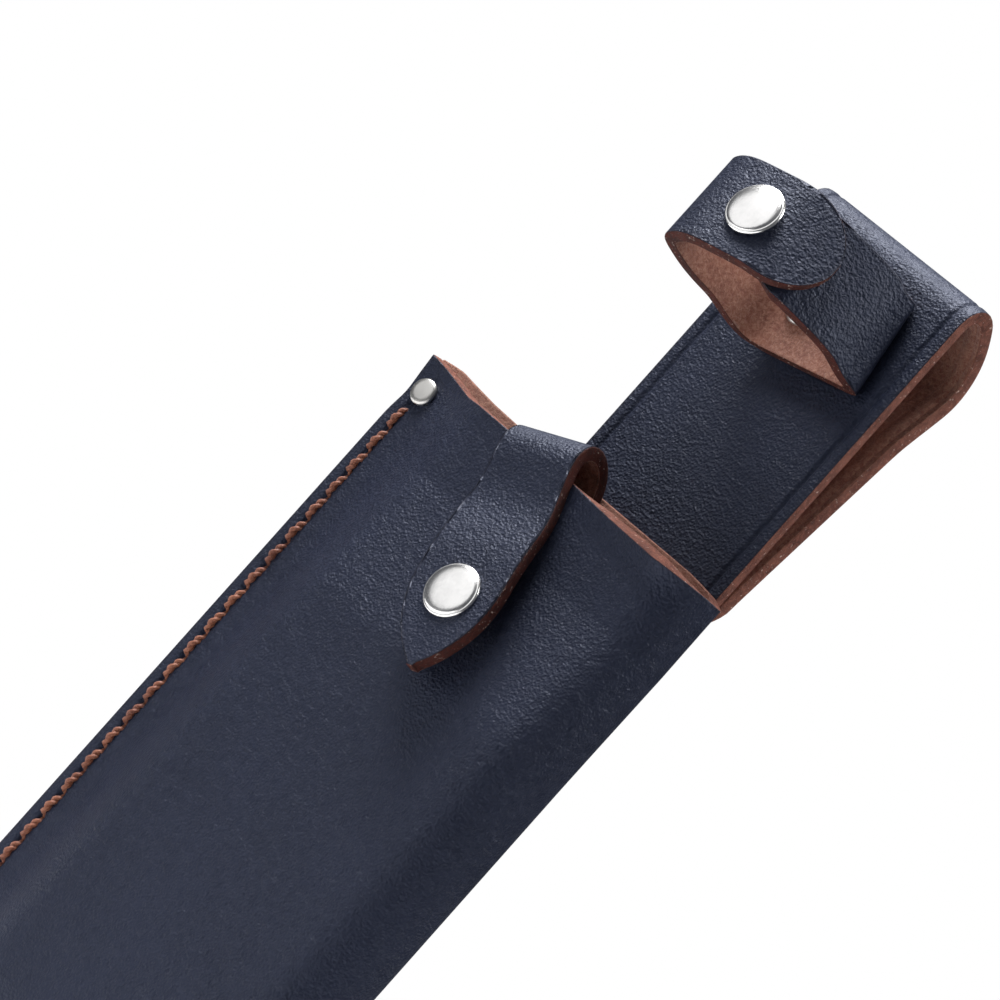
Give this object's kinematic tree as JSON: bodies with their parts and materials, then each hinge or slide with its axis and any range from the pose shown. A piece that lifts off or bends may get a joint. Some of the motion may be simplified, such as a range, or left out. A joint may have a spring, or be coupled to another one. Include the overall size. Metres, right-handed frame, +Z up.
{
  "type": "leather knife sheath",
  "caption": "Navy leather belt sheath for a digging knife: folded stitched pocket, snap guard strap, snap handle band and belt loop.",
  "frame": {"origin": "inner top of the belt loop, on the middle of the belt strap's width, where the sheath hangs from a belt", "axes": "+Z up along the sheath towards the loop, +X to the right seen from the front, the front with the snaps faces -Y"},
  "size_m": [0.0759, 0.0414, 0.27],
  "materials": {
    "navy_leather": "semi-matte pebbled grain, brown flesh side and cut edges",
    "waxed_thread": "waxed, twisted",
    "polished_nickel": "polished",
    "satin_metal": "satin",
    "spring_brass": "bright"
  },
  "bodies": {
    "sheath": {"band_rivet_caps": "satin_metal", "band_rivet_posts": "satin_metal", "band_snap_post": "satin_metal", "band_snap_stud": "satin_metal", "belt_strap": "navy_leather", "corner_rivet_caps": "satin_metal", "corner_rivet_posts": "satin_metal", "guard_rivet_caps": "satin_metal", "guard_rivet_posts": "satin_metal", "guard_snap_post": "satin_metal", "guard_snap_stud": "satin_metal", "guard_strap_root": "navy_leather", "handle_band": "navy_leather", "seam_thread_back": "waxed_thread", "seam_thread_front": "waxed_thread", "sheath_body": "navy_leather", "strap_rivet_caps": "satin_metal", "strap_rivet_posts": "satin_metal"},
    "guard_flap": {"guard_strap_flap": "navy_leather", "guard_snap_cap": "polished_nickel", "guard_snap_socket": "satin_metal", "guard_snap_spring": "spring_brass"},
    "band_flap": {"handle_band_flap": "navy_leather", "band_snap_cap": "polished_nickel", "band_snap_socket": "satin_metal", "band_snap_spring": "spring_brass"}
  },
  "joints": [
    {"name": "guard_flap_hinge", "type": "hinge", "parent": "sheath", "child": "guard_flap", "pos_m": [-0.0171, -0.0138, -0.0573], "axis": [-0.9455, 0, -0.3256], "range_deg": [0, 120]},
    {"name": "band_flap_hinge", "type": "hinge", "parent": "sheath", "child": "band_flap", "pos_m": [-0.02027, -0.02523, -0.01425], "axis": [0.1654, -0.2205, -0.9613], "range_deg": [0, 140]}
  ]
}
